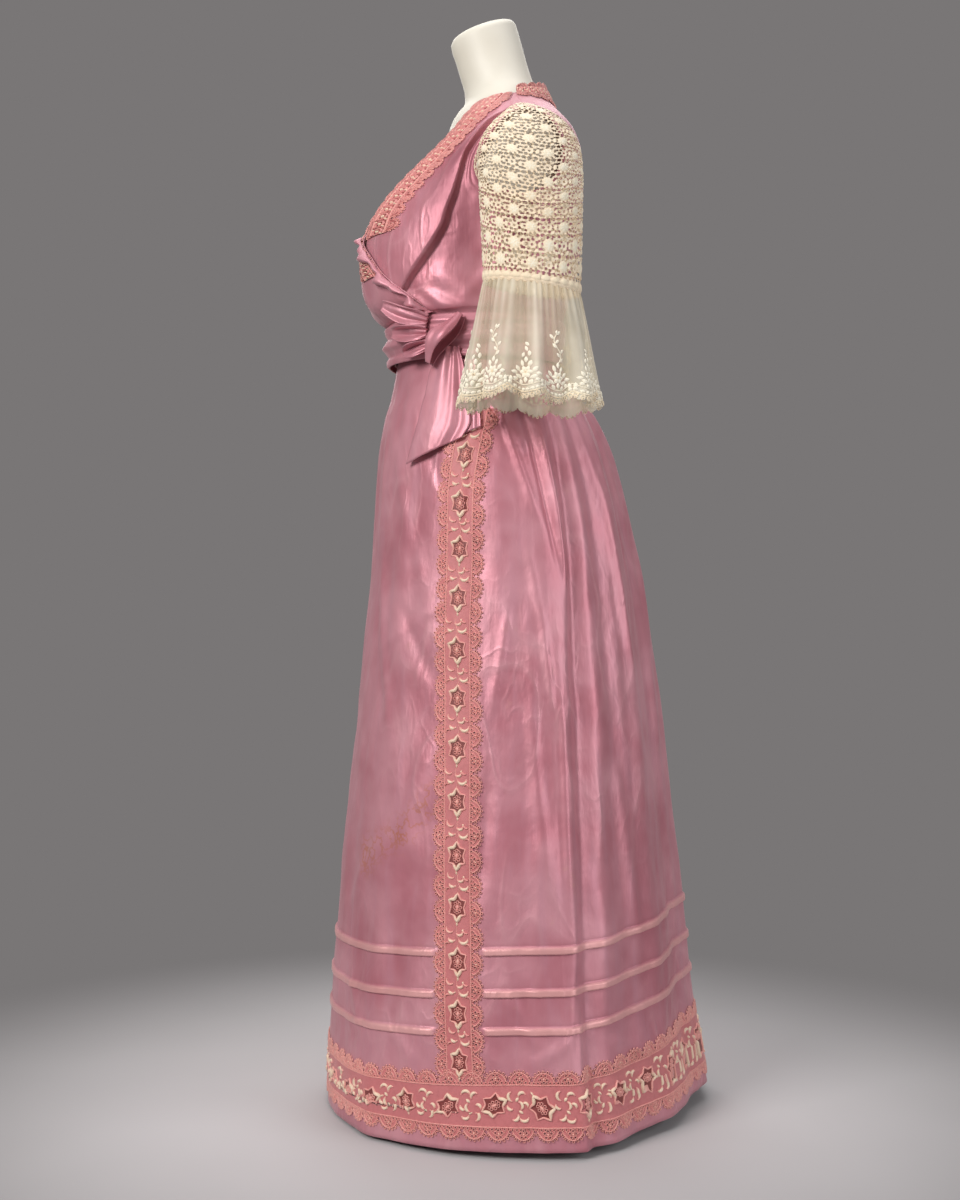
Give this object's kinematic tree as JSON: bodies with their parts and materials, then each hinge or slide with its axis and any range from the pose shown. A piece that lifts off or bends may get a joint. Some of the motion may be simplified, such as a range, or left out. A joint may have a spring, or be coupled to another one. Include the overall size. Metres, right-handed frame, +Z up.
{
  "type": "day dress on a limbless dress form",
  "caption": "Long pink satin day dress with a crossed bodice, sash bow, lace elbow sleeves, net frills, embroidered bands and hem, standing on a limbless dress form.",
  "frame": {"origin": "centre of the underside of the stand's base, on the floor", "axes": "+Z up, -Y to the wearer's front, +X to the wearer's left"},
  "size_m": [0.628, 0.5494, 1.5293],
  "materials": {
    "silk_satin": "dusty rose silk satin with a soft sheen",
    "embroidered_trim": "salmon pink openwork band with raised cream and brown-red embroidery",
    "guipure_lace": "ecru cotton guipure lace, matt, with openings cut through",
    "net_frill": "sheer ivory net with white floral embroidery and a picot edge",
    "form_shell": "smooth off-white dress form",
    "stand_metal": "plain grey pole and round base"
  },
  "bodies": {
    "root": {"form_torso": "form_shell", "form_stand": "stand_metal", "skirt_front": "silk_satin", "skirt_back_left": "silk_satin", "skirt_back_right": "silk_satin", "bodice_front_left": "silk_satin", "bodice_front_right": "silk_satin", "bodice_back": "silk_satin", "sash_belt": "silk_satin", "sash_tail_front": "silk_satin", "sash_tail_back": "silk_satin", "sash_loop": "silk_satin", "sash_frill_1": "silk_satin", "sash_frill_2": "silk_satin", "sash_frill_3": "silk_satin", "band_left": "embroidered_trim", "band_right": "embroidered_trim", "hem_border_front": "embroidered_trim", "hem_border_back_left": "embroidered_trim", "hem_border_back_right": "embroidered_trim", "neck_trim_left": "embroidered_trim", "neck_trim_right": "embroidered_trim", "collar_back": "embroidered_trim", "sleeve_left_front": "guipure_lace", "sleeve_left_back": "guipure_lace", "sleeve_right_front": "guipure_lace", "sleeve_right_back": "guipure_lace", "frill_left": "net_frill", "frill_right": "net_frill"}
  },
  "joints": []
}
